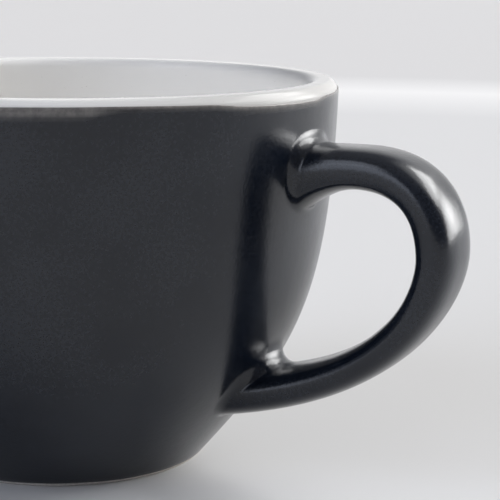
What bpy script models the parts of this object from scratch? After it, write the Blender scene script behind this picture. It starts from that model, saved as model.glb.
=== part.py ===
"""A thick-walled coffee cup: cast stoneware body, loop handle luted on with slip, and fired glaze coats.

Metres, +Z up. The cup stands on z = 0 and the handle points along +X. Every piece is drawn about the cup's
own axis and hangs on one empty, which sets that axis so that the whole cup is centred on the origin.
"""

import math

import bmesh
import bpy
import numpy as np
from mathutils import Vector

# Outside of the glazed wall: one cubic curve from the foot to the rim
RIM_RADIUS = 0.0425
CUP_HEIGHT = 0.0589
FOOT_RADIUS = 0.0217
FOOT_SLOPE = math.radians(49.5)
FOOT_REACH = 0.0228
RIM_FLARE = math.radians(1.6)
RIM_REACH = 0.0357

# Lip, and the inside of the glazed wall: one cubic curve from the lip to the floor
LIP_THICKNESS = 0.0045
LIP_OUTER_ROUND = 0.0016
LIP_INNER_ROUND = 0.0015
LINING_BORDER = 0.00122
INSIDE_FLOOR = 0.0063
INSIDE_TOP_REACH = 0.0146
INSIDE_TAPER = math.radians(1.0)
INSIDE_CORNER_RADIUS = 0.0370
FLOOR_FLAT_RADIUS = 0.0081

# Foot ring and hollow underside
FOOT_BARE_HEIGHT = 0.0006
FOOT_RING_WIDTH = 0.0024
FOOT_EDGE_ROUND = 0.0004
UNDERSIDE_HEIGHT = 0.0022
UNDERSIDE_SLOPE_WIDTH = 0.0010
UNDERSIDE_DOME = 0.0004

# Coats, joints and the clearance that keeps neighbouring pieces apart
GLAZE = 0.0004
SLIP = 0.0004
GAP = 0.0003
BISCUIT = GLAZE + GAP

# Handle: two cubic curves in the XZ plane that meet at the outermost point of the loop
UPPER_ROOT = Vector((0.0415, 0.04657))
UPPER_RISE = math.radians(16.1)
UPPER_REACH = 0.0162
OUTERMOST = Vector((0.06245, 0.03619))
OUTERMOST_REACH_UP = 0.0081
OUTERMOST_REACH_DOWN = 0.0034
LOWER_ROOT = Vector((0.0323, 0.01319))
LOWER_RISE = math.radians(9.6)
LOWER_REACH = 0.0276

# Section of the handle: a rounded strap, slimmest below the bend, that swells towards both roots
HANDLE_HALF_WIDTH = 0.0062
SECTION_POWER = 2.8
UPPER_ROOT_POWER = 2.25
BEND_HALF_THICKNESS = 0.00302
WAIST_HALF_THICKNESS = 0.00261
TAPER_START = 0.024
TAPER_END = 0.040
UPPER_SWELL = 0.0016
UPPER_SWELL_LENGTH = 0.0095
LOWER_SWELL = 0.00062
LOWER_SWELL_LENGTH = 0.026

# Hollow fillets between the handle and the wall, as if rolled with a ball, fuller on their upper side
FILLET_LEAST = 0.0004
UPPER_FILLET_MOST = 0.0021
LOWER_FILLET_MOST = 0.0025
FILLET_SEAT = 0.00025
ROOT_DEPTH = 0.0030
SLIP_START = 0.35

# Clay and glaze: colour and roughness
CLAY_LOOK = (0.80, 0.76, 0.68), 0.85
SLIP_LOOK = (0.74, 0.70, 0.63), 0.85
BLACK_LOOK = (0.020, 0.021, 0.024), 0.40
WHITE_LOOK = (0.84, 0.84, 0.82), 0.15

# Fineness of the round shapes
TURN_STEPS = 48
HANDLE_SIDES = 20
HANDLE_RINGS = 24
FILLET_RINGS = 4
WALL_POINTS = 12
INSIDE_POINTS = 11
ROUND_POINTS = 4
SPINE_POINTS_EACH = 100
MERGE_DISTANCE = 0.00001

# Searching for a place on a curve: halvings, how far past its ends, and the step for a slope
HALVINGS = 40
CURVE_OVERRUN = 0.1
SPINE_OVERRUN = 0.02
ROOT_SEARCH = 0.012
SLOPE_STEP = 0.0002

AXIS_X = (RIM_RADIUS - OUTERMOST.x - BEND_HALF_THICKNESS) / 2


def cubic(corners, t):
    """Point of a cubic Bezier curve."""
    a, b, c, d = corners
    s = 1 - t
    return a * s**3 + b * (3 * s * s * t) + c * (3 * s * t * t) + d * t**3


def cubic_slope(corners, t):
    """Unit tangent of a cubic Bezier curve."""
    a, b, c, d = corners
    s = 1 - t
    return ((b - a) * s * s + (c - b) * (2 * s * t) + (d - c) * t * t).normalized()


def heading(angle):
    return Vector((math.cos(angle), math.sin(angle)))


def wall_curve():
    """Corners of the outer wall's curve, as (radius, height), from the foot up."""
    foot = Vector((FOOT_RADIUS, 0.0))
    rim = Vector((RIM_RADIUS, CUP_HEIGHT))
    above_foot = foot + heading(FOOT_SLOPE) * FOOT_REACH
    below_rim = rim - heading(math.pi / 2 - RIM_FLARE) * RIM_REACH
    return foot, above_foot, below_rim, rim


def inside_curve():
    """Corners of the inside's curve, from the floor's flat up to the lip."""
    top = Vector((RIM_RADIUS - LIP_THICKNESS, CUP_HEIGHT - LIP_INNER_ROUND))
    flat = Vector((FLOOR_FLAT_RADIUS, INSIDE_FLOOR))
    corner = Vector((INSIDE_CORNER_RADIUS, INSIDE_FLOOR))
    return flat, corner, top - heading(math.pi / 2 - INSIDE_TAPER) * INSIDE_TOP_REACH, top


WALL = wall_curve()
INSIDE = inside_curve()


def wall_point(t, inset):
    """Point of the outer wall, moved into the wall by inset."""
    along = cubic_slope(WALL, t)
    return cubic(WALL, t) - Vector((along.y, -along.x)) * inset


def wall_place(height, inset):
    """Where along its curve the outer wall, moved in by inset, passes a height."""
    low, high = -CURVE_OVERRUN, 1 + CURVE_OVERRUN
    for _ in range(HALVINGS):
        middle = (low + high) / 2
        if wall_point(middle, inset).y < height:
            low = middle
        else:
            high = middle
    return (low + high) / 2


def wall_radius(height, inset):
    return wall_point(wall_place(height, inset), inset).x


def wall_path(top, bottom, inset):
    """Points down the outer wall between two heights."""
    start = wall_place(top, inset)
    end = wall_place(bottom, inset)
    return [wall_point(start + (end - start) * i / WALL_POINTS, inset) for i in range(WALL_POINTS + 1)]


def round_path(centre, radius, start, end):
    """Points of an arc between two angles."""
    angles = (start + (end - start) * i / ROUND_POINTS for i in range(ROUND_POINTS + 1))
    return [centre + heading(angle) * radius for angle in angles]


def lining_path(inset):
    """Points from the floor's centre up the inside and over the lip to the border, moved in by inset."""
    path = [Vector((0.0, INSIDE_FLOOR - inset))]
    for i in range(INSIDE_POINTS + 1):
        along = cubic_slope(INSIDE, i / INSIDE_POINTS)
        path.append(cubic(INSIDE, i / INSIDE_POINTS) + Vector((along.y, -along.x)) * inset)
    inner = Vector((INSIDE[3].x + LIP_INNER_ROUND, CUP_HEIGHT - LIP_INNER_ROUND))
    outer = Vector((RIM_RADIUS - LIP_OUTER_ROUND, CUP_HEIGHT - LIP_OUTER_ROUND))
    border = math.asin((LIP_OUTER_ROUND - LINING_BORDER) / (LIP_OUTER_ROUND - inset))
    path += round_path(inner, LIP_INNER_ROUND - inset, math.pi, math.pi / 2)[1:]
    path += round_path(outer, LIP_OUTER_ROUND - inset, math.pi / 2, border)
    return path


def foot_path():
    """Points of the bare foot ring and the hollow underside, from outside to the axis."""
    outer = wall_radius(FOOT_EDGE_ROUND, BISCUIT)
    inner = outer - FOOT_EDGE_ROUND - FOOT_RING_WIDTH
    return [
        Vector((outer - FOOT_EDGE_ROUND, 0.0)),
        Vector((inner, 0.0)),
        Vector((inner - UNDERSIDE_SLOPE_WIDTH, UNDERSIDE_HEIGHT)),
        Vector((0.0, UNDERSIDE_HEIGHT + UNDERSIDE_DOME)),
    ]


def spine_table():
    """Points of the handle's centre line and their distance along it, run on straight past both roots."""
    upper = (
        UPPER_ROOT,
        UPPER_ROOT + heading(UPPER_RISE) * UPPER_REACH,
        OUTERMOST + Vector((0.0, OUTERMOST_REACH_UP)),
        OUTERMOST,
    )
    lower = (
        OUTERMOST,
        OUTERMOST - Vector((0.0, OUTERMOST_REACH_DOWN)),
        LOWER_ROOT + heading(LOWER_RISE) * LOWER_REACH,
        LOWER_ROOT,
    )
    points = [cubic(upper, i / SPINE_POINTS_EACH) for i in range(SPINE_POINTS_EACH)]
    points += [cubic(lower, i / SPINE_POINTS_EACH) for i in range(SPINE_POINTS_EACH + 1)]
    lengths = np.cumsum([0.0] + [(b - a).length for a, b in zip(points, points[1:])])
    points.insert(0, UPPER_ROOT - heading(UPPER_RISE) * SPINE_OVERRUN)
    points.append(LOWER_ROOT - heading(LOWER_RISE) * SPINE_OVERRUN)
    lengths = np.concatenate([[-SPINE_OVERRUN], lengths, [lengths[-1] + SPINE_OVERRUN]])
    return np.array(points), lengths


SPINE_POINTS, SPINE_LENGTHS = spine_table()
HANDLE_LENGTH = SPINE_LENGTHS[-2]


def spine(distance):
    """Centre line of the handle at a distance from its upper root."""
    return Vector([np.interp(distance, SPINE_LENGTHS, SPINE_POINTS[:, i]) for i in range(2)])


def nearness(distance):
    """How near a place on the handle is to its upper and lower root: 1 at the root, 0 past its swelling."""
    upper = max(1 - distance / UPPER_SWELL_LENGTH, 0.0) ** 2
    lower = max(1 - (HANDLE_LENGTH - distance) / LOWER_SWELL_LENGTH, 0.0) ** 2
    return upper, lower


def half_thickness(distance):
    """Half of the handle's thickness in its own plane: full bend, slim waist, swollen roots."""
    taper = min(max((distance - TAPER_START) / (TAPER_END - TAPER_START), 0.0), 1.0)
    thinned = (BEND_HALF_THICKNESS - WAIST_HALF_THICKNESS) * taper * taper * (3 - 2 * taper)
    upper, lower = nearness(distance)
    return BEND_HALF_THICKNESS - thinned + UPPER_SWELL * upper + LOWER_SWELL * lower


def section_power(distance):
    """Squareness of the handle's section: 2 is an oval; the upper root is rounder than the rest."""
    upper, _ = nearness(distance)
    return SECTION_POWER - (SECTION_POWER - UPPER_ROOT_POWER) * min(upper, 1.0)


def section_frame(distance):
    """Centre, and direction towards the outside of the loop, of the handle's section."""
    along = (spine(distance + SLOPE_STEP) - spine(distance - SLOPE_STEP)).normalized()
    return spine(distance), Vector((-along.y, along.x))


def strap(angle, power):
    """Cosine and sine of an angle raised to a power, with their signs kept."""
    return [math.copysign(abs(side) ** power, side) for side in (math.cos(angle), math.sin(angle))]


def handle_point(distance, angle, inset):
    """Point of the handle's rounded surface, moved in by inset; angle 0 is the outside of the loop."""
    centre, outward = section_frame(distance)
    reach, across = strap(angle, 2 / section_power(distance))
    in_plane = centre + outward * ((half_thickness(distance) - inset) * reach)
    return Vector((in_plane.x, (HANDLE_HALF_WIDTH - inset) * across, in_plane.y))


def handle_normal(distance, angle, inset):
    """Outward direction of the handle's section at a point on it."""
    _, outward = section_frame(distance)
    reach, across = strap(angle, 2 - 2 / section_power(distance))
    in_plane = outward * (reach / (half_thickness(distance) - inset))
    return Vector((in_plane.x, across / (HANDLE_HALF_WIDTH - inset), in_plane.y)).normalized()


def wall_meeting(angle, inset, lower):
    """Distance along the handle at which one line of its surface meets the wall."""
    root, away = (HANDLE_LENGTH, -1) if lower else (0.0, 1)
    inside = root - away * ROOT_SEARCH
    outside = root + away * ROOT_SEARCH
    for _ in range(HALVINGS):
        middle = (inside + outside) / 2
        point = handle_point(middle, angle, inset)
        if point.xy.length < wall_radius(point.z, inset):
            inside = middle
        else:
            outside = middle
    return (inside + outside) / 2


def wall_normal(point, inset):
    """Outward normal of the wall at a point on it."""
    above = wall_radius(point.z + SLOPE_STEP, inset)
    below = wall_radius(point.z - SLOPE_STEP, inset)
    around = point.xy.normalized() * (2 * SLOPE_STEP)
    return Vector((around.x, around.y, below - above)).normalized()


def fillet_radius(angle, inset, lower):
    """Radius of the fillet, which grows by inset under the surface because the fillet is hollow."""
    upward = -math.cos(angle) if lower else math.cos(angle)
    most = LOWER_FILLET_MOST if lower else UPPER_FILLET_MOST
    return FILLET_LEAST + (most - FILLET_LEAST) * (1 + upward) / 2 + inset


def fillet_line(angle, inset, lower):
    """Points of the hollow fillet on one line of the handle, out from the wall, and where it ends."""
    away = -1 if lower else 1
    meeting = wall_meeting(angle, inset, lower)
    corner = handle_point(meeting, angle, inset)
    normal = wall_normal(corner, inset)
    spread = handle_normal(meeting, angle, inset)
    spread = (spread - normal * spread.dot(normal)).normalized()
    leave = (handle_point(meeting + away * FILLET_LEAST, angle, inset) - corner).normalized()
    turn = math.pi - spread.angle(leave)
    length = fillet_radius(angle, inset, lower) * math.tan(turn / 2)
    pull = 4 / 3 * math.tan(turn / 4) / math.tan(turn / 2)
    stop = meeting + away * length
    start = handle_point(stop, angle, inset)
    end = corner + spread * length
    end.xy = end.xy.normalized() * wall_radius(end.z, inset + FILLET_SEAT)
    corners = end, end.lerp(corner, pull), start.lerp(corner, pull), start
    root = handle_point(meeting - away * ROOT_DEPTH, angle, inset)
    return [root] + [cubic(corners, i / FILLET_RINGS) for i in range(FILLET_RINGS + 1)], stop


def handle_angles():
    return [2 * math.pi * i / HANDLE_SIDES for i in range(HANDLE_SIDES)]


def flared_handle_lines(inset):
    """Lines of the whole handle with its fillets, from inside the wall at one root to the other."""
    lines = []
    for angle in handle_angles():
        upper, start = fillet_line(angle, inset, lower=False)
        lower, end = fillet_line(angle, inset, lower=True)
        places = (start + (end - start) * i / HANDLE_RINGS for i in range(1, HANDLE_RINGS))
        lines.append(upper + [handle_point(place, angle, inset) for place in places] + lower[::-1])
    return lines


def plain_handle_lines(inset):
    """Lines of the handle without fillets, run on into the wall."""
    start = -ROOT_DEPTH
    end = HANDLE_LENGTH + ROOT_DEPTH * 2
    places = [start + (end - start) * i / HANDLE_RINGS for i in range(HANDLE_RINGS + 1)]
    return [[handle_point(place, angle, inset) for place in places] for angle in handle_angles()]


def fillet_lines(inset, lower):
    """Lines of one fillet alone, ended where it is still thick enough to stand by itself."""
    lines = []
    for angle in handle_angles():
        line, _ = fillet_line(angle, inset, lower)
        last, before = line[-1], line[-2]
        lines.append(line[:-2] + [before.lerp(last, SLIP_START)])
    return lines


def loft(name, lines, collection):
    """Closed mesh over lines that run side by side round a shape."""
    build = bmesh.new()
    columns = [[build.verts.new(point) for point in line] for line in lines]
    for column, following in zip(columns, columns[1:] + columns[:1]):
        for i in range(len(column) - 1):
            build.faces.new((column[i], column[i + 1], following[i + 1], following[i]))
    for end in (0, -1):
        ring = [column[end] for column in columns]
        middle = build.verts.new(sum((vert.co for vert in ring), Vector()) / len(ring))
        for vert, following in zip(ring, ring[1:] + ring[:1]):
            build.faces.new((vert, following, middle))
    bmesh.ops.recalc_face_normals(build, faces=build.faces)
    mesh = bpy.data.meshes.new(name)
    build.to_mesh(mesh)
    build.free()
    mesh.shade_smooth()
    return place(name, mesh, collection)


def turned(name, path, collection):
    """Solid turned round the cup's axis from a path that runs down its outer side."""
    mesh = bpy.data.meshes.new(name)
    points = [(point.x, 0.0, point.y) for point in path]
    mesh.from_pydata(points, [(i, i + 1) for i in range(len(points) - 1)], [])
    piece = place(name, mesh, collection)
    screw = piece.modifiers.new("turn", "SCREW")
    screw.steps = TURN_STEPS
    screw.render_steps = TURN_STEPS
    screw.use_merge_vertices = True
    screw.merge_threshold = MERGE_DISTANCE
    screw.use_smooth_shade = True
    return piece


def turned_wall(name, top, bottom, inset, collection):
    """Solid plug of the outer wall between two heights, moved in by inset."""
    path = wall_path(top, bottom, inset)
    top_centre = Vector((0.0, path[0].y))
    bottom_centre = Vector((0.0, path[-1].y))
    return turned(name, [top_centre] + path + [bottom_centre], collection)


def place(name, mesh, collection):
    piece = bpy.data.objects.new(name, mesh)
    collection.objects.link(piece)
    piece.parent = bpy.data.objects["cup_axis"]
    if collection.name == "cutters":
        piece.hide_render = True
        piece.display_type = "WIRE"
    return piece


def combine(piece, operation, other):
    boolean = piece.modifiers.new(other.name, "BOOLEAN")
    boolean.operation = operation
    boolean.solver = "EXACT"
    boolean.object = other


def paint(piece, look):
    """One Principled material for one piece; nothing here is metal."""
    colour, roughness = look
    material = bpy.data.materials.new(piece.name)
    material.use_nodes = True
    shader = material.node_tree.nodes["Principled BSDF"]
    shader.inputs["Base Color"].default_value = (*colour, 1.0)
    shader.inputs["Roughness"].default_value = roughness
    shader.inputs["Metallic"].default_value = 0.0
    material.diffuse_color = (*colour, 1.0)
    piece.data.materials.append(material)


def make_body(parts):
    """Cast body: inside, lip, outer wall, bare foot ring and hollow underside in one turned profile."""
    outside = wall_path(CUP_HEIGHT - LIP_OUTER_ROUND, FOOT_EDGE_ROUND, BISCUIT)
    body = turned("cup_body", lining_path(BISCUIT) + outside + foot_path(), parts)
    paint(body, CLAY_LOOK)


def make_lining(parts):
    """White coat of the inside and the lip, ending at the border below the lip's outer edge."""
    lining = turned("white_lining_glaze", lining_path(0.0) + lining_path(GLAZE)[::-1], parts)
    paint(lining, WHITE_LOOK)


def make_underside(parts):
    """Patch of the black coat in the hollow underside."""
    foot = foot_path()
    edge = foot[2].x - GAP
    path = [foot[3], Vector((edge, foot[2].y))]
    upper = [point - Vector((0.0, GAP)) for point in path]
    lower = [point - Vector((0.0, GAP + GLAZE)) for point in reversed(path)]
    patch = turned("underside_glaze", upper + lower, parts)
    paint(patch, BLACK_LOOK)


def make_handle(parts, cutters):
    """Cast handle, its ends saddle-cut to the wall with room for the slip."""
    handle = loft("handle", plain_handle_lines(BISCUIT), parts)
    wall = turned_wall("saddle_cut", CUP_HEIGHT, 0.0, GLAZE - SLIP - GAP, cutters)
    combine(handle, "DIFFERENCE", wall)
    paint(handle, CLAY_LOOK)


def make_slip_joints(parts, cutters):
    """Slip between each handle end and the wall, squeezed out into a hollow fillet."""
    wall = turned_wall("slip_wall_cut", CUP_HEIGHT, 0.0, GLAZE, cutters)
    seat = loft("slip_seat_cut", plain_handle_lines(GLAZE), cutters)
    combine(seat, "DIFFERENCE", turned_wall("slip_layer_cut", CUP_HEIGHT, 0.0, GLAZE - SLIP, cutters))
    for name, lower in (("upper_slip_joint", False), ("lower_slip_joint", True)):
        slip = loft(name, fillet_lines(BISCUIT, lower), parts)
        combine(slip, "DIFFERENCE", wall)
        combine(slip, "DIFFERENCE", seat)
        paint(slip, SLIP_LOOK)


def make_outer_glaze(parts, cutters):
    """Black coat: one skin over the wall, both fillets and the handle, open at the lip and the foot."""
    top = CUP_HEIGHT - LINING_BORDER - GAP
    glaze = turned_wall("black_outer_glaze", top, FOOT_BARE_HEIGHT, 0.0, parts)
    combine(glaze, "UNION", loft("handle_outside", flared_handle_lines(0.0), cutters))
    combine(glaze, "DIFFERENCE", turned_wall("glazed_wall_core", CUP_HEIGHT, 0.0, GLAZE, cutters))
    combine(glaze, "DIFFERENCE", loft("glazed_handle_core", flared_handle_lines(GLAZE), cutters))
    paint(glaze, BLACK_LOOK)


def new_collection(name):
    collection = bpy.data.collections.new(name)
    bpy.context.scene.collection.children.link(collection)
    return collection


def main():
    for thing in list(bpy.data.objects):
        bpy.data.objects.remove(thing)
    parts = new_collection("coffee_cup")
    cutters = new_collection("cutters")
    axis = bpy.data.objects.new("cup_axis", None)
    axis.location = (AXIS_X, 0.0, 0.0)
    parts.objects.link(axis)
    make_body(parts)
    make_handle(parts, cutters)
    make_slip_joints(parts, cutters)
    make_outer_glaze(parts, cutters)
    make_lining(parts)
    make_underside(parts)


main()
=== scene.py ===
"""Looks of the coffee cup: fired glaze coats as smooth fine meshes, their materials, and a plain studio.

Metres, +Z up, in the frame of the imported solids. Shapes are drawn about the cup's own axis, with the handle
towards +X, and then moved onto the axis that the frame gives.
"""

import math

import bmesh
import bpy
import numpy as np
from mathutils import Matrix, Vector
from mathutils.geometry import delaunay_2d_cdt


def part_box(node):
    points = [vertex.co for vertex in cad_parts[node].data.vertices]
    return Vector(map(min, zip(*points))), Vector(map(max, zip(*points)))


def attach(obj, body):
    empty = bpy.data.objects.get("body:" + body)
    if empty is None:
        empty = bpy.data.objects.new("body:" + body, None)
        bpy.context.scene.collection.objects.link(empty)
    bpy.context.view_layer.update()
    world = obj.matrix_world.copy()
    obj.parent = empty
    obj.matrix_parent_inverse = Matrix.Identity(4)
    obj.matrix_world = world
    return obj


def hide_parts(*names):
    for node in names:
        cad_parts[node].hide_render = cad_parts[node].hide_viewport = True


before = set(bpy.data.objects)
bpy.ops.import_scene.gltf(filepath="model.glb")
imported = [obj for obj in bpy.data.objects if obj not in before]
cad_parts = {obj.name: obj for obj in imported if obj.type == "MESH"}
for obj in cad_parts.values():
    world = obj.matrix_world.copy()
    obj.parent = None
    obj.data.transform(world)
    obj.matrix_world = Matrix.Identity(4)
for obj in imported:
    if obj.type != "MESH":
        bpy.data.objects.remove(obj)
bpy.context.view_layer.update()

# Outside of the glazed wall: one cubic curve from the foot to the rim
RIM_RADIUS = 0.0425
CUP_HEIGHT = 0.0589
FOOT_RADIUS = 0.0217
FOOT_SLOPE = math.radians(49.5)
FOOT_REACH = 0.0228
RIM_FLARE = math.radians(1.6)
RIM_REACH = 0.0357

# Lip and inside of the glazed wall. The skirt is the strip of wall just under the lip's outer rounding
LIP_THICKNESS = 0.0045
LIP_OUTER_ROUND = 0.0016
LIP_INNER_ROUND = 0.0015
LIP_SKIRT = 0.0006
LINING_BORDER = 0.00122
INSIDE_FLOOR = 0.0063
INSIDE_TOP_REACH = 0.0146
INSIDE_TAPER = math.radians(1.0)
INSIDE_CORNER_RADIUS = 0.0370
FLOOR_FLAT_RADIUS = 0.0081

# Foot ring and hollow underside. The clay stands back under the black coat and comes out to it above the foot
FOOT_BARE_HEIGHT = 0.0006
FOOT_RING_WIDTH = 0.0024
FOOT_EDGE_ROUND = 0.0004
FOOT_CORNER_ROUND = 0.0005
FOOT_SET_BACK_END = 4 * FOOT_BARE_HEIGHT
FOOT_FLUSH_START = 3 * FOOT_BARE_HEIGHT
FOOT_COAT_GAP = 0.00006
UNDERSIDE_HEIGHT = 0.0022
UNDERSIDE_SLOPE_WIDTH = 0.0010
UNDERSIDE_DOME = 0.0004
UNDERSIDE_PATCH_MARGIN = 0.0004
UNDERSIDE_PATCH_GAP = 0.00005
UNDERSIDE_COAT = 0.00024

# Coats: the white one sinks over the lip's rounding and runs on a little under the edge of the black one
BLACK_COAT = 0.00012
WHITE_COAT = 0.0004
WHITE_STEP = 0.00016
WHITE_STEP_START = math.radians(85.0)
WHITE_STEP_END = math.radians(45.0)
WHITE_OVERLAP = 0.0013
BISCUIT_INSET = 0.0007

# Borders of the black coat: the one on the lip swings round the cup and sags near the handle
BORDER_SWING = 0.00027
BORDER_SWINGS = 3
BORDER_HIGHEST = math.radians(-54.5)
BORDER_WAVE = 0.00006
BORDER_WAVE_SHIFT = 1.3
BORDER_SAG = 0.00038
SAG_START = np.radians((-30.5, -20.5))
SAG_END = np.radians((0.5, 7.0))
FOOT_WAVE = 0.00010
FOOT_WAVE_SHIFT = 4.2
# Parts of a wave round the cup: share, number of swings, how strongly the shift turns it
WAVE_PARTS = (0.5, 3, 1.0), (0.3, 7, 2.1), (0.2, 16, 3.7)

# Thin strip of the black coat at the border: its reach and fade, usual and at its widest
THIN_REACH = 0.00095
THIN_REACH_WIDE = 0.00135
THIN_FADE = 2.0
THIN_FADE_WIDE = 0.5
THIN_WIDEST = math.radians(-88.0)
THIN_WIDE_SPAN = (0.10, 0.35)

# Painted shade on the white coat: greyer over the lip, on the handle's side, where the softbox lights it
# strongly
LIP_PAINTED_SHADE_MIDDLE = math.radians(10.5)
LIP_PAINTED_SHADE_SPAN = (0.25, 0.95)

# Handle: two cubic curves in the XZ plane that meet at the outermost point of the loop
UPPER_ROOT = np.array((0.0415, 0.04657))
UPPER_RISE = math.radians(16.1)
UPPER_REACH = 0.0162
OUTERMOST = np.array((0.06245, 0.03619))
OUTERMOST_REACH_UP = 0.0081
OUTERMOST_REACH_DOWN = 0.0034
LOWER_ROOT = np.array((0.0323, 0.01319))
LOWER_RISE = math.radians(9.6)
LOWER_REACH = 0.0276
SPINE_RUN_ON = 0.02

# Section of the handle: a rounded strap, slimmest below the bend, that swells towards both roots
HANDLE_HALF_WIDTH = 0.0062
SECTION_POWER = 2.8
UPPER_ROOT_POWER = 2.25
BEND_HALF_THICKNESS = 0.00302
WAIST_HALF_THICKNESS = 0.00261
TAPER_START = 0.024
TAPER_END = 0.040
UPPER_SWELL = 0.0016
UPPER_SWELL_LENGTH = 0.0095
LOWER_SWELL = 0.00062
LOWER_SWELL_LENGTH = 0.026

# Hollow fillets between the handle and the wall, as if rolled with a ball, fuller on their upper side
FILLET_LEAST = 0.0015
UPPER_FILLET_MOST = 0.0021
LOWER_FILLET_MOST = 0.0025

# Distances along the handle from its roots, surely inside and surely outside the wall
UPPER_SEARCH = (-0.010, 0.010)
LOWER_SEARCH = (0.014, -0.012)
SEARCH_HALVINGS = 40

# Fineness
WALL_SAMPLES = 3000
WALL_RUN_ON = 0.05
SPINE_SAMPLES = 600
SPINE_STEP = 0.0003
WALL_STEP = 0.0002
TURN_STEPS = 240
WALL_ROWS = 84
LIP_ROWS = 14
EDGE_ROWS = 5
HANDLE_SIDES = 64
HANDLE_RINGS = 150
FILLET_RINGS = 16
INSIDE_ROWS = 56
INSIDE_FLOOR_ROWS = 9
INSIDE_LIP_ROWS = 12
LINING_LIP_ROWS = 22
LINING_SKIRT_ROWS = 4
BODY_LIP_ROWS = 8
BODY_WALL_ROWS = 59
BODY_FOOT_ROWS = 5
FOOT_OUTER_ROWS = 8
FOOT_INNER_ROWS = 6
UNDERSIDE_ROWS = 20
PATCH_ROWS = 24
PATCH_EDGE_ROWS = 5
FLOOR_SIDES = 128

# Seam between the wall's grid and a fillet: cells added around the ring, and room left about it
SEAM_CELLS = 2
SEAM_ROOM = 0.0004
SEAM_TOLERANCE = 1e-9

# Colours: pairs are the darker and the paler end of what a noise mixes
BLACK_TONES = (0.0030, 0.0052, 0.0105), (0.0122, 0.0154, 0.0225)
BLACK_SPECK = (0.30, 0.29, 0.28)
BLACK_THIN = (0.25, 0.235, 0.22)
WHITE_TONES = (0.880, 0.866, 0.838), (0.900, 0.888, 0.862)
# Painted shade of the white coat over the lip on the handle's side
WHITE_PAINTED_SHADE_TONES = (0.530, 0.522, 0.508), (0.550, 0.542, 0.528)
WHITE_SPECK = (0.45, 0.42, 0.38)
CLAY_TONES = (0.40, 0.37, 0.34), (0.55, 0.52, 0.48)
SLIP_TONES = (0.36, 0.33, 0.30), (0.50, 0.47, 0.43)
# Ranges of a noise's value that are carried to the ends of what it mixes
NOISE_SPAN = (0.3, 0.7)
CLAY_SPAN = (0.32, 0.68)
EDGE_SPAN = (0.35, 0.65)
WHITE_SPECK_SPAN = (0.76, 0.80)
# Specks of the black glaze: cells per metre, fade of a speck's edge in cells, random values that hold one
SPECK_CELLS = 120
SPECK_FADE = (0.010, 0.022)
SPECK_CHOICE = (0.62, 0.66)

# Pale table top: a lighter band well behind the cup, and painted light that makes it paler to the right and
# back. The band's reaches and tones are its start, its peak and its end
FLOOR_RADIUS = 6.0
FLOOR_DROP = 0.00004
BAND_REACHES = (0.54, 0.67, 0.775)
BAND_TONES = (0.72, 0.715, 0.712), (0.885, 0.875, 0.865), (0.70, 0.69, 0.685)
PAINTED_LIGHT_TONE = (0.90, 0.895, 0.89)
PAINTED_LIGHT_BEARING = math.radians(75.0)
PAINTED_LIGHT_SIDE_SPAN = (0.075, 0.125)
PAINTED_LIGHT_BACK_SPAN = (-0.08, 0.02)

# Light: a softbox on the right, so far off that it lights the whole table alike, and a dim room. Bearings are
# from the camera's side of the cup, growing to the camera's right
KEY_BEARING = math.radians(110.0)
KEY_ELEVATION = math.radians(38.0)
KEY_DISTANCE = 60.0
KEY_WIDE = math.radians(46.0)
KEY_HIGH = math.radians(20.0)
KEY_RADIANCE = 6.2
ROOM_PLAIN = (0.14, 0.14, 0.152)
# Soft patches of the room, in degrees: bearing and elevation of the middle, radius of the full part, radius
# of the end; and colour
ROOM_PATCHES = {
    "glow round the softbox": (108, 40, 8, 36, (1.6, 1.6, 1.57)),
    "light under the softbox": (112, 20, 8, 20, (3.4, 3.4, 3.4)),
    "low panel on the right": (106, 3, 10, 26, (7.2, 7.2, 7.2)),
    "pale ceiling": (0, 90, 25, 50, (0.14, 0.14, 0.14)),
    "pale wall behind": (160, 8, 8, 40, (0.85, 0.85, 0.85)),
    "fill on the left": (-52, 12, 8, 22, (1.85, 2.0, 2.35)),
    "top of the fill": (-62, 38, 8, 22, (1.85, 2.0, 2.35)),
}

# Camera of the photograph: place about the cup's axis, aim, roll and lens
CAMERA_BEARING = math.radians(-57.5)
CAMERA_DISTANCE = 0.255
CAMERA_HEIGHT = 0.07863
CAMERA_SWING = 0.1143
CAMERA_DIP = 0.1829
CAMERA_ROLL = 0.0099
CAMERA_FOCAL_PIXELS = 1640.74
IMAGE_PIXELS = 500
SENSOR = 36.0
CLIP_START, CLIP_END = 0.01, 20.0

UP = Vector((0.0, 0.0, 1.0))
TURN_ANGLES = -math.pi + np.arange(TURN_STEPS) * (2 * math.pi / TURN_STEPS)
body_low, body_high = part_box("cup_body")
AXIS = Vector(((body_low.x + body_high.x) / 2, 0.0, 0.0))


def bezier(corners, t):
    """Points of a cubic Bezier curve, at one share t or at a column of shares."""
    a, b, c, d = corners
    s = 1 - t
    return a * s**3 + b * (3 * s * s * t) + c * (3 * s * t * t) + d * t**3


def heading(angle):
    return np.stack([np.cos(angle), np.sin(angle)], axis=-1)


def unit(vectors):
    return vectors / np.linalg.norm(vectors, axis=-1, keepdims=True)


def ease(value, start, end):
    """Smooth step from 0 at start to 1 at end."""
    t = np.clip((value - start) / (end - start), 0.0, 1.0)
    return t * t * (3 - 2 * t)


def moved_in(path, inset):
    """A path of (radius, height), moved to its own left-hand side by inset."""
    along = unit(np.gradient(path, axis=0))
    return path + np.stack([-along[:, 1], along[:, 0]], axis=1) * inset


def wall_curve():
    """Path of the wall's outside, run on a little past the foot and the rim."""
    foot = np.array((FOOT_RADIUS, 0.0))
    rim = np.array((RIM_RADIUS, CUP_HEIGHT))
    lower = foot + heading(FOOT_SLOPE) * FOOT_REACH
    upper = rim - heading(math.pi / 2 - RIM_FLARE) * RIM_REACH
    shares = np.linspace(-WALL_RUN_ON, 1 + WALL_RUN_ON, WALL_SAMPLES)
    return bezier((foot, lower, upper, rim), shares[:, None])


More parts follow.
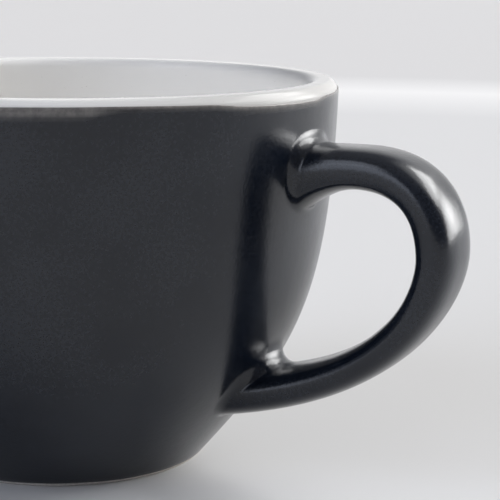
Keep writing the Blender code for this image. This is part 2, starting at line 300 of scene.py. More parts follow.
WALL = wall_curve()


def wall_radius(height, inset=0.0):
    """Outer radius of the wall at a height, moved into the wall by inset."""
    path = moved_in(WALL, inset)
    return np.interp(height, path[:, 1], path[:, 0])


def lip_arc():
    """Centre of the lip's outer rounding, and the height where it leaves the wall."""
    start = CUP_HEIGHT - LIP_OUTER_ROUND * (1 + math.sin(RIM_FLARE))
    radius = float(wall_radius(start)) - LIP_OUTER_ROUND * math.cos(RIM_FLARE)
    return np.array((radius, CUP_HEIGHT - LIP_OUTER_ROUND)), start


LIP_CENTRE, LIP_START = lip_arc()


def wave(angle, size, shift):
    """Slow uneven wave round the cup, as a brushed glaze edge has."""
    return size * sum(share * np.sin(swings * angle + turn * shift) for share, swings, turn in WAVE_PARTS)


def border_reach(angle):
    """Distance up the profile, from the start of the lip's skirt, at which the black coat ends."""
    swing = BORDER_SWING * np.cos(BORDER_SWINGS * (angle - BORDER_HIGHEST))
    sag = BORDER_SAG * ease(angle, *SAG_START) * (1 - ease(angle, *SAG_END))
    drop = LINING_BORDER - swing + sag + wave(angle, BORDER_WAVE, BORDER_WAVE_SHIFT)
    turn = np.arcsin(np.maximum(1 - drop / LIP_OUTER_ROUND, -math.sin(RIM_FLARE)))
    under = np.maximum(drop - (CUP_HEIGHT - LIP_START), 0.0)
    return LIP_SKIRT - under + (turn + RIM_FLARE) * LIP_OUTER_ROUND


def lip_profile(reach, inset):
    """Radius and height at distances up the profile from the start of the lip's skirt."""
    height = LIP_START - LIP_SKIRT + np.minimum(reach, LIP_SKIRT)
    turn = (reach - LIP_SKIRT) / LIP_OUTER_ROUND - RIM_FLARE
    arc = LIP_CENTRE + (LIP_OUTER_ROUND - inset) * heading(turn)
    on_arc = reach > LIP_SKIRT
    radius = np.where(on_arc, arc[..., 0], wall_radius(height, inset))
    return radius, np.where(on_arc, arc[..., 1], height)


def profile_reach(points):
    """Distance up the profile, from the start of the lip's skirt, of points on the coat."""
    outward = np.hypot(points[:, 0], points[:, 1]) - LIP_CENTRE[0]
    turn = np.arctan2(points[:, 2] - LIP_CENTRE[1], outward)
    low = np.minimum(points[:, 2] - LIP_START, 0.0)
    return LIP_SKIRT + low + np.maximum(turn + RIM_FLARE, 0.0) * LIP_OUTER_ROUND


def spine_table():
    """Points of the handle's centre line and their distance along it, run on straight past both roots."""
    upper = (
        UPPER_ROOT,
        UPPER_ROOT + heading(UPPER_RISE) * UPPER_REACH,
        OUTERMOST + np.array((0.0, OUTERMOST_REACH_UP)),
        OUTERMOST,
    )
    lower = (
        OUTERMOST,
        OUTERMOST - np.array((0.0, OUTERMOST_REACH_DOWN)),
        LOWER_ROOT + heading(LOWER_RISE) * LOWER_REACH,
        LOWER_ROOT,
    )
    shares = np.linspace(0, 1, SPINE_SAMPLES)[:, None]
    points = np.concatenate([bezier(upper, shares)[:-1], bezier(lower, shares)])
    lengths = np.concatenate([[0.0], np.cumsum(np.linalg.norm(np.diff(points, axis=0), axis=1))])
    first = UPPER_ROOT - heading(UPPER_RISE) * SPINE_RUN_ON
    last = LOWER_ROOT - heading(LOWER_RISE) * SPINE_RUN_ON
    points = np.concatenate([[first], points, [last]])
    return points, np.concatenate([[-SPINE_RUN_ON], lengths, [lengths[-1] + SPINE_RUN_ON]])


SPINE_POINTS, SPINE_LENGTHS = spine_table()
HANDLE_LENGTH = SPINE_LENGTHS[-2]


def spine(distance):
    return np.stack([np.interp(distance, SPINE_LENGTHS, SPINE_POINTS[:, i]) for i in range(2)], axis=-1)


def nearness(distance):
    """How near places on the handle are to its upper and lower root: 1 at the root, 0 past its swelling."""
    upper = np.maximum(1 - distance / UPPER_SWELL_LENGTH, 0.0) ** 2
    lower = np.maximum(1 - (HANDLE_LENGTH - distance) / LOWER_SWELL_LENGTH, 0.0) ** 2
    return upper, lower


def half_thickness(distance):
    """Half of the handle's thickness in its own plane: full bend, slim waist, swollen roots."""
    thinned = (BEND_HALF_THICKNESS - WAIST_HALF_THICKNESS) * ease(distance, TAPER_START, TAPER_END)
    upper, lower = nearness(distance)
    return BEND_HALF_THICKNESS - thinned + UPPER_SWELL * upper + LOWER_SWELL * lower


def section_power(distance):
    """Squareness of the handle's section: 2 is an oval; the upper root is rounder than the rest."""
    upper, _ = nearness(distance)
    return SECTION_POWER - (SECTION_POWER - UPPER_ROOT_POWER) * np.minimum(upper, 1.0)


def section_outward(distance):
    """Direction, in the handle's plane, from its centre line towards the outside of the loop."""
    along = unit(spine(distance + SPINE_STEP) - spine(distance - SPINE_STEP))
    return np.stack([-along[..., 1], along[..., 0]], axis=-1)


def strap(angle, power):
    """Cosine and sine of angles raised to a power, with their signs kept."""
    return [np.sign(side) * np.abs(side) ** power for side in (np.cos(angle), np.sin(angle))]


def handle_points(distance, angle, inset):
    """Points of the handle's rounded surface; angle 0 is the outside of the loop."""
    reach, across = strap(angle, 2 / section_power(distance))
    in_plane = section_outward(distance) * ((half_thickness(distance) - inset) * reach)[:, None]
    plane = spine(distance) + in_plane
    return np.stack([plane[:, 0], (HANDLE_HALF_WIDTH - inset) * across, plane[:, 1]], axis=1)


def handle_normals(distance, angle, inset):
    """Outward directions of the handle's section at points on it."""
    reach, across = strap(angle, 2 - 2 / section_power(distance))
    in_plane = section_outward(distance) * (reach / (half_thickness(distance) - inset))[:, None]
    return unit(np.stack([in_plane[:, 0], across / (HANDLE_HALF_WIDTH - inset), in_plane[:, 1]], axis=1))


def wall_meeting(angle, inset, lower):
    """Distance along the handle at which each line of its surface meets the wall."""
    root = HANDLE_LENGTH if lower else 0.0
    search = LOWER_SEARCH if lower else UPPER_SEARCH
    inside, outside = (np.full_like(angle, root + step) for step in search)
    for _ in range(SEARCH_HALVINGS):
        middle = (inside + outside) / 2
        point = handle_points(middle, angle, inset)
        within = np.hypot(point[:, 0], point[:, 1]) < wall_radius(point[:, 2], inset)
        inside = np.where(within, middle, inside)
        outside = np.where(within, outside, middle)
    return (inside + outside) / 2


def wall_normals(points, inset):
    """Outward normals of the wall at points on it."""
    height = points[:, 2]
    rise = wall_radius(height + WALL_STEP, inset) - wall_radius(height - WALL_STEP, inset)
    around = unit(points[:, :2])
    return unit(np.column_stack([around, -rise / (2 * WALL_STEP)]))


def flattened(vectors, normals):
    """Vectors without their part along the normals."""
    return vectors - normals * np.sum(vectors * normals, axis=1, keepdims=True)


def fillet_rings(angle, inset, lower):
    """Rings of a hollow fillet from the wall to the handle, and where on the handle it ends."""
    away = -1 if lower else 1
    meeting = wall_meeting(angle, inset, lower)
    corner = handle_points(meeting, angle, inset)
    spread = unit(flattened(handle_normals(meeting, angle, inset), wall_normals(corner, inset)))
    leave = unit(handle_points(meeting + away * FILLET_LEAST, angle, inset) - corner)
    turn = math.pi - np.arccos(np.sum(spread * leave, axis=1, keepdims=True))
    upward = -np.cos(angle[:, None]) if lower else np.cos(angle[:, None])
    most = LOWER_FILLET_MOST if lower else UPPER_FILLET_MOST
    radius = FILLET_LEAST + (most - FILLET_LEAST) * (1 + upward) / 2 + inset
    length = radius * np.tan(turn / 2)
    pull = 4 / 3 * np.tan(turn / 4) / np.tan(turn / 2)
    stop = meeting + away * length[:, 0]
    start = handle_points(stop, angle, inset)
    end = corner + spread * length
    end[:, :2] = unit(end[:, :2]) * wall_radius(end[:, 2], inset)[:, None]
    leave_wall = unit(flattened(corner - end, wall_normals(end, inset)))
    corners = end, end + leave_wall * length * pull, start + (corner - start) * pull, start
    return [bezier(corners, i / FILLET_RINGS) for i in range(FILLET_RINGS + 1)], stop


def handle_rings(inset):
    """Rings of the handle's skin from the wall at the upper root to the wall at the lower root."""
    angle = np.arange(HANDLE_SIDES) * (2 * math.pi / HANDLE_SIDES)
    upper, start = fillet_rings(angle, inset, lower=False)
    lower, end = fillet_rings(angle, inset, lower=True)
    shares = np.arange(1, HANDLE_RINGS) / HANDLE_RINGS
    tube = [handle_points(start + (end - start) * share, angle, inset) for share in shares]
    return upper + tube + lower[::-1]


def wall_rows(inset):
    """Rows of the black coat's surface from the foot's border up the wall and over the lip's rounding."""
    foot = FOOT_BARE_HEIGHT + wave(TURN_ANGLES, FOOT_WAVE, FOOT_WAVE_SHIFT)
    rows = []
    for share in np.linspace(0, 1, WALL_ROWS, endpoint=False):
        height = foot + (LIP_START - LIP_SKIRT - foot) * share
        rows.append((wall_radius(height, inset), height))
    stop = border_reach(TURN_ANGLES)
    rows += [lip_profile(stop * share, inset) for share in np.linspace(0, 1, LIP_ROWS)]
    return [np.column_stack([r * np.cos(TURN_ANGLES), r * np.sin(TURN_ANGLES), h]) for r, h in rows]


def outside_ring(place, ring, clearance):
    """True if a flat point lies outside a closed ring, by at least the clearance."""
    x, y = place
    ahead = np.roll(ring, -1, axis=0)
    crosses = (ring[:, 1] > y) != (ahead[:, 1] > y)
    rise = np.where(ahead[:, 1] == ring[:, 1], 1.0, ahead[:, 1] - ring[:, 1])
    at = ring[:, 0] + (y - ring[:, 1]) * (ahead[:, 0] - ring[:, 0]) / rise
    inside = np.count_nonzero(crosses & (x < at)) % 2 == 1
    return not inside and np.min(np.linalg.norm(ring - place, axis=1)) >= clearance


def seam_faces(rows, ring, first_ring_index):
    """Triangles that join the wall's grid to a fillet's end ring, and the grid's cells that they replace."""
    middle_radius = float(np.mean(np.hypot(ring[:, 0], ring[:, 1])))
    widths = TURN_ANGLES * middle_radius
    heights = np.array([row[TURN_STEPS // 2, 2] for row in rows])
    ring_flat = np.column_stack([np.arctan2(ring[:, 1], ring[:, 0]) * middle_radius, ring[:, 2]])
    low = int(np.searchsorted(heights, ring_flat[:, 1].min())) - 1 - SEAM_CELLS
    high = int(np.searchsorted(heights, ring_flat[:, 1].max())) + SEAM_CELLS
    left = int(np.searchsorted(widths, ring_flat[:, 0].min())) - 1 - SEAM_CELLS
    right = int(np.searchsorted(widths, ring_flat[:, 0].max())) + SEAM_CELLS
    flat, source, grid_index = [], [], {}
    for j in range(low, high + 1):
        for i in range(left, right + 1):
            place = np.array((widths[i], heights[j]))
            edge = i in (left, right) or j in (low, high)
            if edge or outside_ring(place, ring_flat, SEAM_ROOM):
                grid_index[i, j] = len(flat)
                flat.append(place)
                source.append(j * TURN_STEPS + i)
    ring_start, count = len(flat), len(ring)
    flat += list(ring_flat)
    source += [first_ring_index + k for k in range(count)]
    border = [(i, low) for i in range(left, right)] + [(right, j) for j in range(low, high)]
    border += [(i, high) for i in range(right, left, -1)] + [(left, j) for j in range(high, low, -1)]
    edges = [(grid_index[a], grid_index[b]) for a, b in zip(border, border[1:] + border[:1])]
    edges += [(ring_start + k, ring_start + (k + 1) % count) for k in range(count)]
    made = delaunay_2d_cdt([Vector(p) for p in flat], edges, [], 0, SEAM_TOLERANCE)
    faces = []
    for face in made[2]:
        picked = [made[3][v][0] for v in face]
        centre = sum(flat[p] for p in picked) / 3
        if outside_ring(centre, ring_flat, 0.0):
            faces.append([source[p] for p in picked])
    cells = {(i, j) for i in range(left, right) for j in range(low, high)}
    return faces, cells


def skin_surface(inset):
    """Open skin over wall, fillets and handle: its points, its faces, and where its top row starts."""
    rows = wall_rows(inset)
    rings = handle_rings(inset)
    grid_count = len(rows) * TURN_STEPS
    last = grid_count + (len(rings) - 1) * HANDLE_SIDES
    upper_faces, upper_cells = seam_faces(rows, rings[0], grid_count)
    lower_faces, lower_cells = seam_faces(rows, rings[-1], last)
    taken = upper_cells | lower_cells
    faces = upper_faces + lower_faces
    for j in range(len(rows) - 1):
        for i in range(TURN_STEPS):
            if (i, j) not in taken:
                a, b = j * TURN_STEPS + i, j * TURN_STEPS + (i + 1) % TURN_STEPS
                faces.append([a, b, b + TURN_STEPS, a + TURN_STEPS])
    for m in range(len(rings) - 1):
        for k in range(HANDLE_SIDES):
            a = grid_count + m * HANDLE_SIDES + k
            b = grid_count + m * HANDLE_SIDES + (k + 1) % HANDLE_SIDES
            faces.append([a, a + HANDLE_SIDES, b + HANDLE_SIDES, b])
    return np.concatenate(rows + rings), faces, (len(rows) - 1) * TURN_STEPS


def black_skin():
    """Closed black coat: outer and inner skin, joined by a rounded edge at the lip and at the foot."""
    outer, outer_faces, top = skin_surface(0.0)
    inner, inner_faces, _ = skin_surface(BLACK_COAT)
    points = [outer, inner]
    faces = outer_faces + [[v + len(outer) for v in face] for face in inner_faces]
    count = len(outer) + len(inner)
    for start in (top, 0):
        a = outer[start:start + TURN_STEPS]
        b = inner[start:start + TURN_STEPS]
        towards = 1 if start else -1
        neighbour = outer[start - towards * TURN_STEPS:][:TURN_STEPS]
        onward = unit(a - neighbour)
        bands = [np.arange(start, start + TURN_STEPS)]
        for step in range(1, EDGE_ROWS):
            turn = math.pi * step / EDGE_ROWS
            middle = (a + b) / 2 + (a - b) / 2 * math.cos(turn)
            points.append(middle + onward * (BLACK_COAT / 2 * math.sin(turn)))
            bands.append(np.arange(count, count + TURN_STEPS))
            count += TURN_STEPS
        bands.append(np.arange(start, start + TURN_STEPS) + len(outer))
        for one, two in zip(bands, bands[1:]):
            for i in range(TURN_STEPS):
                n = (i + 1) % TURN_STEPS
                faces.append([one[i], one[n], two[n], two[i]])
    return np.concatenate(points), faces


def turned(path):
    """Points and faces of a closed turned shape, from a path of (radius, height) that ends on the axis."""
    angle = np.arange(TURN_STEPS) * (2 * math.pi / TURN_STEPS)
    points = [np.array([[0.0, 0.0, path[0][1]]])]
    for radius, height in path[1:-1]:
        points.append(np.column_stack([radius * heading(angle), np.full(TURN_STEPS, height)]))
    points.append(np.array([[0.0, 0.0, path[-1][1]]]))
    rings = len(path) - 2
    final = 1 + rings * TURN_STEPS
    faces = []
    for i in range(TURN_STEPS):
        n = (i + 1) % TURN_STEPS
        faces.append([0, 1 + i, 1 + n])
        for m in range(rings - 1):
            a = 1 + m * TURN_STEPS
            faces.append([a + i, a + TURN_STEPS + i, a + TURN_STEPS + n, a + n])
        a = 1 + (rings - 1) * TURN_STEPS
        faces.append([a + i, final, a + n])
    return np.concatenate(points), faces


def inside_path(inset):
    """Path from the floor's middle up the inside and over the lip's inner rounding."""
    top = np.array((RIM_RADIUS - LIP_THICKNESS, CUP_HEIGHT - LIP_INNER_ROUND))
    flat = np.array((FLOOR_FLAT_RADIUS, INSIDE_FLOOR))
    corner = np.array((INSIDE_CORNER_RADIUS, INSIDE_FLOOR))
    below = top - heading(math.pi / 2 - INSIDE_TAPER) * INSIDE_TOP_REACH
    shares = np.linspace(0, 1, INSIDE_ROWS)[:, None]
    wall = moved_in(bezier((flat, corner, below, top), shares), -inset)
    radii = np.linspace(0, FLOOR_FLAT_RADIUS, INSIDE_FLOOR_ROWS + 1)[:-1]
    floor = np.column_stack([radii, np.full(INSIDE_FLOOR_ROWS, INSIDE_FLOOR - inset)])
    centre = np.array((top[0] + LIP_INNER_ROUND, top[1]))
    turn = np.linspace(math.pi, math.pi / 2, INSIDE_LIP_ROWS + 1)[1:]
    return np.concatenate([floor, wall, centre + heading(turn) * (LIP_INNER_ROUND - inset)])


def lining_path():
    """Closed path of the white coat, run on under the edge of the black coat."""
    lowest = CUP_HEIGHT - LINING_BORDER - WHITE_OVERLAP

    def surface(inset):
        turn = np.linspace(math.pi / 2, -RIM_FLARE, LINING_LIP_ROWS)
        sink = WHITE_STEP * ease(turn, WHITE_STEP_START, WHITE_STEP_END)
        arc = LIP_CENTRE + heading(turn) * (LIP_OUTER_ROUND - inset - sink)[:, None]
        heights = np.linspace(LIP_START, lowest, LINING_SKIRT_ROWS + 1)[1:]
        skirt = np.column_stack([wall_radius(heights, inset + WHITE_STEP), heights])
        return np.concatenate([inside_path(inset), arc, skirt])

    return np.concatenate([surface(0.0), surface(WHITE_COAT)[::-1]])


def foot_ring_inner():
    """Inner radius of the bare foot ring."""
    outer = float(wall_radius(FOOT_EDGE_ROUND, BISCUIT_INSET)) - FOOT_EDGE_ROUND
    return outer - FOOT_RING_WIDTH


def body_path():
    """Closed path of the clay body: inside, lip, outer wall, rounded foot ring, hollow underside."""
    turn = np.linspace(math.pi / 2, -RIM_FLARE, BODY_LIP_ROWS)
    lip = LIP_CENTRE + heading(turn) * (LIP_OUTER_ROUND - BISCUIT_INSET)
    heights = np.linspace(LIP_START, FOOT_SET_BACK_END, BODY_WALL_ROWS + 1)[1:]
    wall = np.column_stack([wall_radius(heights, BISCUIT_INSET), heights])
    inner = foot_ring_inner()
    bare = np.linspace(FOOT_FLUSH_START, FOOT_CORNER_ROUND, BODY_FOOT_ROWS)
    flush = np.column_stack([wall_radius(bare, BLACK_COAT + FOOT_COAT_GAP), bare])
    corner = flush[-1] - np.array((FOOT_CORNER_ROUND, 0.0))
    ring = corner + heading(np.linspace(0, -math.pi / 2, FOOT_OUTER_ROWS)) * FOOT_CORNER_ROUND
    inner_turn = np.linspace(-math.pi / 2, -math.pi, FOOT_INNER_ROWS)
    inner_corner = np.array((inner + FOOT_CORNER_ROUND, FOOT_CORNER_ROUND))
    ring_inner = inner_corner + heading(inner_turn) * FOOT_CORNER_ROUND
    share = np.linspace(1, 0, UNDERSIDE_ROWS)
    dome = np.column_stack([
        (inner - UNDERSIDE_SLOPE_WIDTH) * share,
        UNDERSIDE_HEIGHT + UNDERSIDE_DOME * (1 - share**2),
    ])
    return np.concatenate([inside_path(BISCUIT_INSET), lip, wall, flush, ring, ring_inner, dome])


def underside_path():
    """Closed path of the black coat inside the foot ring."""
    dome_edge = foot_ring_inner() - UNDERSIDE_SLOPE_WIDTH
    edge = dome_edge - UNDERSIDE_PATCH_MARGIN
    share = np.linspace(0, 1, PATCH_ROWS)
    dome = UNDERSIDE_DOME * (1 - (share * edge / dome_edge) ** 2)
    height = UNDERSIDE_HEIGHT + dome - UNDERSIDE_PATCH_GAP
    above = np.column_stack([share * edge, height])
    turn = np.linspace(math.pi / 2, -math.pi / 2, PATCH_EDGE_ROWS + 2)[1:-1]
    rim = np.array((edge, height[-1] - UNDERSIDE_COAT / 2)) + heading(turn) * (UNDERSIDE_COAT / 2)
    below = above[::-1] - np.array((0.0, UNDERSIDE_COAT))
    return np.concatenate([above, rim, below])


def add_piece(name, points, faces, material, slot, *nodes):
    """One piece from points and faces about the cup's axis, standing for CAD nodes."""
    build = bmesh.new()
    verts = [build.verts.new(Vector(point) + AXIS) for point in points]
    for face in faces:
        build.faces.new([verts[v] for v in face])
    bmesh.ops.delete(build, geom=[v for v in build.verts if not v.link_faces], context="VERTS")
    bmesh.ops.recalc_face_normals(build, faces=build.faces)
    mesh = bpy.data.meshes.new(name)
    build.to_mesh(mesh)
    build.free()
    mesh.shade_smooth()
    piece = bpy.data.objects.new(name, mesh)
    bpy.context.scene.collection.objects.link(piece)
    mesh.materials.append(material)
    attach(piece, "root")
    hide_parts(*nodes)
    return piece


def mark_thinness_and_painted_shade(piece, thinness_and_painted_shade):
    """Keep on a coat's mesh a share at each point, 1 at most and 0 for the usual coat: the black coat's
    thinness, the white coat's painted shade.
    """
    mesh = piece.data
    points = np.empty(3 * len(mesh.vertices))
    mesh.vertices.foreach_get("co", points)
    thin_and_painted_shade = thinness_and_painted_shade(points.reshape(-1, 3) - np.array(AXIS))
    mesh.attributes.new("thin_coat_and_painted_shade", "FLOAT", "POINT").data.foreach_set("value", thin_and_painted_shade)


def black_thinness(points):
    """The black coat is thinnest at its edge on the lip, and is of usual thickness a little below it."""
    around = np.arctan2(points[:, 1], points[:, 0])
    below = border_reach(around) - profile_reach(points)
    wide = ease(np.cos(2 * (around - THIN_WIDEST)), *THIN_WIDE_SPAN)
    reach = THIN_REACH + (THIN_REACH_WIDE - THIN_REACH) * wide
    fade = THIN_FADE + (THIN_FADE_WIDE - THIN_FADE) * wide
    return np.clip(1 - below / reach, 0.0, 1.0) ** fade


def white_painted_shade(points):
    """Painted shade on the white coat: greyest over the lip on the handle's side, where the softbox lights it
    strongly, and none below it.
    """
    over_lip = ease(points[:, 2], CUP_HEIGHT - 2 * LIP_INNER_ROUND, CUP_HEIGHT)
    outer = np.hypot(points[:, 0], points[:, 1]) > LIP_CENTRE[0]
    around = np.arctan2(points[:, 1], points[:, 0])
    return np.where(outer, 1.0, over_lip) * ease(np.cos(around - LIP_PAINTED_SHADE_MIDDLE), *LIP_PAINTED_SHADE_SPAN)


def from_camera(bearing, elevation):
    """Direction seen from the cup: bearing 0 is towards the camera, growing to the camera's right."""
    angle = CAMERA_BEARING + bearing
    flat = math.cos(elevation)
    return Vector((math.cos(angle) * flat, math.sin(angle) * flat, math.sin(elevation)))


class Nodes:
    """Short way to add linked shader nodes to a material."""

    def __init__(self, name):
        self.material = bpy.data.materials.new(name)
        self.material.use_nodes = True
        self.tree = self.material.node_tree
        self.shader = self.tree.nodes["Principled BSDF"]
        self.place = self.add("ShaderNodeTexCoord").outputs["Object"]

    def add(self, kind, **values):
        node = self.tree.nodes.new(kind)
        for key, value in values.items():
            setattr(node, key, value)
        return node

    def link(self, output, target):
        self.tree.links.new(output, target)

    def shade(self, **values):
        """Set or link sockets of the shader, named with underscores for spaces."""
        for key, value in values.items():
            socket = self.shader.inputs[key.replace("_", " ")]
            if isinstance(value, float):
                socket.default_value = value
            else:
                self.link(value, socket)

    def noise(self, scale, detail, roughness=0.5):
        node = self.add("ShaderNodeTexNoise")
        node.inputs["Scale"].default_value = scale
        node.inputs["Detail"].default_value = detail
        node.inputs["Roughness"].default_value = roughness
        self.link(self.place, node.inputs["Vector"])
        return node.outputs["Fac"]

    def thin_coat_and_painted_shade(self):
        """How thin the black coat is, and how much painted shade the white coat has, as kept on the mesh."""
        return self.add("ShaderNodeAttribute", attribute_name="thin_coat_and_painted_shade").outputs["Fac"]

    def distance(self):
        """Distance from the object's own origin."""
        node = self.add("ShaderNodeVectorMath", operation="LENGTH")
        self.link(self.place, node.inputs[0])
        return node.outputs["Value"]

    def reach(self, bearing):
        """Distance from the object's own origin, measured along a bearing."""
        node = self.add("ShaderNodeVectorMath", operation="DOT_PRODUCT")
        node.inputs[1].default_value = from_camera(bearing, 0.0)
        self.link(self.place, node.inputs[0])
        return node.outputs["Value"]

    def ramp(self, value, places, colours):
        """Colour ramp through colours at places in growing order."""
        node = self.add("ShaderNodeValToRGB")
        points = node.color_ramp.elements
        while len(points) < len(places):
            points.new(0.5)
        for point, at, colour in zip(points, places, colours):
            point.position = at
            point.color = (*colour, 1.0)
        self.link(value, node.inputs["Fac"])
        return node.outputs["Color"]

    def span(self, value, source, target):
        """Value carried from one range to another, and held at its ends."""
        node = self.add("ShaderNodeMapRange")
        for key, number in zip(("From Min", "From Max", "To Min", "To Max"), (*source, *target)):
            node.inputs[key].default_value = number
        self.link(value, node.inputs["Value"])
        return node.outputs["Result"]

    def math(self, operation, one, two):
        node = self.add("ShaderNodeMath", operation=operation)
        self.link(one, node.inputs[0])
        self.link(two, node.inputs[1])
        return node.outputs["Value"]

    def mix(self, share, one, two):
        """Colour one, mixed by a share towards colour two, which may be plain."""
        node = self.add("ShaderNodeMix", data_type="RGBA")
        self.link(share, node.inputs["Factor"])
        self.link(one, node.inputs[6])
        if isinstance(two, tuple):
            node.inputs[7].default_value = (*two, 1.0)
        else:
            self.link(two, node.inputs[7])
        return node.outputs[2]

    def bump(self, *layers):
        """Bump layers, each (height value, depth in metres), one on the other."""
        normal = None
        for value, depth in layers:
            node = self.add("ShaderNodeBump")
            node.inputs["Distance"].default_value = depth
            self.link(value, node.inputs["Height"])
            if normal:
                self.link(normal, node.inputs["Normal"])
            normal = node.outputs["Normal"]
        self.shade(Normal=normal)


def black_glaze():
    """Satin black glaze: eggshell grain, slow tone changes, a few pale specks, brownish where it is thin."""
    n = Nodes("black_satin_glaze")
    slow = n.span(n.noise(scale=60, detail=3), NOISE_SPAN, (0.0, 0.5))
    grain = n.span(n.noise(scale=2400, detail=2), NOISE_SPAN, (0.0, 0.5))
    tone = n.ramp(n.math("ADD", slow, grain), NOISE_SPAN, BLACK_TONES)
    specks = n.add("ShaderNodeTexVoronoi")
    specks.inputs["Scale"].default_value = SPECK_CELLS
    n.link(n.place, specks.inputs["Vector"])
    dot = n.span(specks.outputs["Distance"], SPECK_FADE, (1.0, 0.0))
    chosen = n.span(specks.outputs["Color"], SPECK_CHOICE, (0.0, 1.0))
    tone = n.mix(n.math("MULTIPLY", dot, chosen), tone, BLACK_SPECK)
    uneven = n.span(n.noise(scale=900, detail=4, roughness=0.7), EDGE_SPAN, (0.6, 1.0))
    tone = n.mix(n.math("MULTIPLY", n.thin_coat_and_painted_shade(), uneven), tone, BLACK_THIN)
    rough = n.span(n.noise(scale=420, detail=4, roughness=0.6), NOISE_SPAN, (0.17, 0.22))
    n.shade(Base_Color=tone, Roughness=rough, IOR=1.48)
    n.bump((n.noise(scale=1900, detail=2), 0.000015), (n.noise(scale=150, detail=2), 0.00004))
    return n.material


def white_glaze():
    """Glossy white glaze with a faint unevenness of colour and surface, greyer with painted shade over the
    lip on the handle's side.
    """
    n = Nodes("white_gloss_glaze")
    slow = n.noise(scale=70, detail=3)
    full = n.ramp(slow, NOISE_SPAN, WHITE_TONES)
    thin_and_painted_shade = n.ramp(slow, NOISE_SPAN, WHITE_PAINTED_SHADE_TONES)
    # Painted shade: a greyer tone over the lip on the handle's side, where the softbox lights it strongly
    tone = n.mix(n.thin_coat_and_painted_shade(), full, thin_and_painted_shade)
    specks = n.span(n.noise(scale=2600, detail=1), WHITE_SPECK_SPAN, (0.0, 0.35))
    tone = n.mix(specks, tone, WHITE_SPECK)
    rough = n.span(n.noise(scale=300, detail=3), NOISE_SPAN, (0.10, 0.17))
    n.shade(Base_Color=tone, Roughness=rough, IOR=1.5, Specular_IOR_Level=0.10)
    n.bump((n.noise(scale=160, detail=2), 0.00003))
    return n.material


def biscuit(name, tones):
    """Bare fired clay: matt, with fine grains."""
    n = Nodes(name)
    tone = n.ramp(n.noise(scale=1800, detail=6, roughness=0.7), CLAY_SPAN, tones)
    rough = n.span(n.noise(scale=700, detail=3), NOISE_SPAN, (0.78, 0.92))
    n.shade(Base_Color=tone, Roughness=rough)
    n.bump((n.noise(scale=2400, detail=5, roughness=0.7), 0.00004))
    return n.material


def make_cup():
    """Coats, clay body and underside patch, and materials for the solids that the coat covers."""
    black = black_glaze()
    clay = biscuit("stoneware_biscuit", CLAY_TONES)
    slip = biscuit("joining_slip", SLIP_TONES)
    white = white_glaze()
    coat = add_piece("black_glaze_coat", *black_skin(), black, "black_satin_glaze", "black_outer_glaze")
    mark_thinness_and_painted_shade(coat, black_thinness)
    lining_shape = turned(lining_path())
    lining = add_piece("white_glaze_lining", *lining_shape, white, "white_gloss_glaze", "white_lining_glaze")
    # Painted shade on the white coat's lip, on the handle's side
    mark_thinness_and_painted_shade(lining, white_painted_shade)
    add_piece("stoneware_body", *turned(body_path()), clay, "stoneware_biscuit", "cup_body")
    patch_shape = turned(underside_path())
    add_piece("underside_glaze_patch", *patch_shape, black, "black_satin_glaze", "underside_glaze")
    for node, material in (("handle", clay), ("upper_slip_joint", slip), ("lower_slip_joint", slip)):
        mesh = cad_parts[node].data
        mesh.materials.clear()
        mesh.materials.append(material)


def make_floor():
    """Round pale table top, lighter in a soft band well behind the cup, with painted light to the right and
    back.
    """
    build = bmesh.new()
    bmesh.ops.create_circle(build, cap_ends=True, segments=FLOOR_SIDES, radius=FLOOR_RADIUS)
    mesh = bpy.data.meshes.new("floor")
    build.to_mesh(mesh)
    build.free()
    floor = bpy.data.objects.new("floor", mesh)
    floor.location = AXIS - UP * FLOOR_DROP
    bpy.context.scene.collection.objects.link(floor)
    n = Nodes("pale_floor")
    tone = n.ramp(n.distance(), BAND_REACHES, BAND_TONES)
    # Painted light: the table top is paler to the right and back
    aside = n.span(n.reach(PAINTED_LIGHT_BEARING), PAINTED_LIGHT_SIDE_SPAN, (0.0, 1.0))
    behind = n.span(n.reach(math.pi), PAINTED_LIGHT_BACK_SPAN, (0.0, 1.0))
    tone = n.mix(n.math("MULTIPLY", aside, behind), tone, PAINTED_LIGHT_TONE)
    n.shade(Base_Color=tone, Roughness=0.9, Specular_IOR_Level=0.03)
    mesh.materials.append(n.material)


def make_key():
    """Softbox on the right."""
    lamp = bpy.data.lights.new("key", "AREA")
    lamp.shape = "RECTANGLE"
    lamp.size = 2 * KEY_DISTANCE * math.tan(KEY_WIDE / 2)
    lamp.size_y = 2 * KEY_DISTANCE * math.tan(KEY_HIGH / 2)
    lamp.energy = KEY_RADIANCE * math.pi * lamp.size * lamp.size_y
    key = bpy.data.objects.new("key", lamp)
    bpy.context.scene.collection.objects.link(key)
    towards = from_camera(KEY_BEARING, KEY_ELEVATION)
    key.location = AXIS + towards * KEY_DISTANCE
    key.rotation_mode = "QUATERNION"
    key.rotation_quaternion = towards.to_track_quat("Z", "Y")


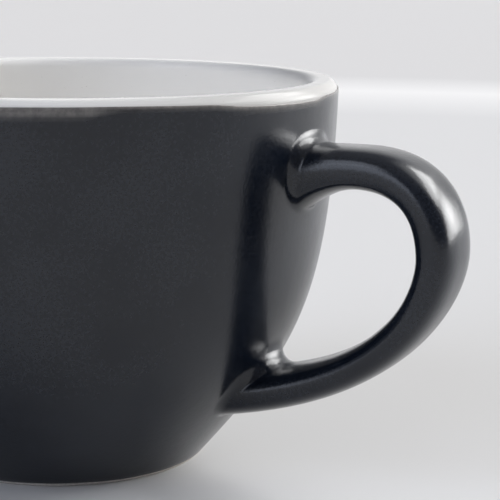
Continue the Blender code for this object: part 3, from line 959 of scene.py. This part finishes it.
def make_room():
    """Dim room with soft pale patches."""
    world = bpy.data.worlds.new("room")
    bpy.context.scene.world = world
    world.use_nodes = True
    tree = world.node_tree
    towards = tree.nodes.new("ShaderNodeTexCoord").outputs["Generated"]
    total = None
    for bearing, elevation, full, end, colour in ROOM_PATCHES.values():
        facing = tree.nodes.new("ShaderNodeVectorMath")
        facing.operation = "DOT_PRODUCT"
        facing.inputs[1].default_value = from_camera(math.radians(bearing), math.radians(elevation))
        tree.links.new(towards, facing.inputs[0])
        fade = tree.nodes.new("ShaderNodeMapRange")
        fade.interpolation_type = "SMOOTHSTEP"
        fade.inputs["From Min"].default_value = math.cos(math.radians(end))
        fade.inputs["From Max"].default_value = math.cos(math.radians(full))
        tree.links.new(facing.outputs["Value"], fade.inputs["Value"])
        add = tree.nodes.new("ShaderNodeVectorMath")
        add.operation = "MULTIPLY_ADD"
        tree.links.new(fade.outputs["Result"], add.inputs[0])
        add.inputs[1].default_value = colour
        if total:
            tree.links.new(total, add.inputs[2])
        else:
            add.inputs[2].default_value = ROOM_PLAIN
        total = add.outputs["Vector"]
    tree.links.new(total, tree.nodes["Background"].inputs["Color"])


def make_camera():
    """Camera at the photograph's place, aim and lens."""
    bearing = Vector((math.cos(CAMERA_BEARING), math.sin(CAMERA_BEARING), 0.0))
    place = AXIS + bearing * CAMERA_DISTANCE + UP * CAMERA_HEIGHT
    ahead = -bearing
    across = ahead.cross(UP)
    flat = ahead * math.cos(CAMERA_SWING) + across * math.sin(CAMERA_SWING)
    forward = flat * math.cos(CAMERA_DIP) - UP * math.sin(CAMERA_DIP)
    right = forward.cross(UP).normalized()
    up = right.cross(forward)
    right_rolled = right * math.cos(CAMERA_ROLL) + up * math.sin(CAMERA_ROLL)
    up_rolled = up * math.cos(CAMERA_ROLL) - right * math.sin(CAMERA_ROLL)
    lens = bpy.data.cameras.new("camera")
    lens.sensor_width = SENSOR
    lens.lens = SENSOR * CAMERA_FOCAL_PIXELS / IMAGE_PIXELS
    lens.clip_start = CLIP_START
    lens.clip_end = CLIP_END
    camera = bpy.data.objects.new("camera", lens)
    bpy.context.scene.collection.objects.link(camera)
    turn = Matrix((right_rolled, up_rolled, -forward)).transposed()
    camera.matrix_world = Matrix.Translation(place) @ turn.to_4x4()
    bpy.context.scene.camera = camera


make_cup()
make_floor()
make_key()
make_room()
make_camera()
bpy.context.scene.view_settings.view_transform = "Standard"

bpy.context.view_layer.update()
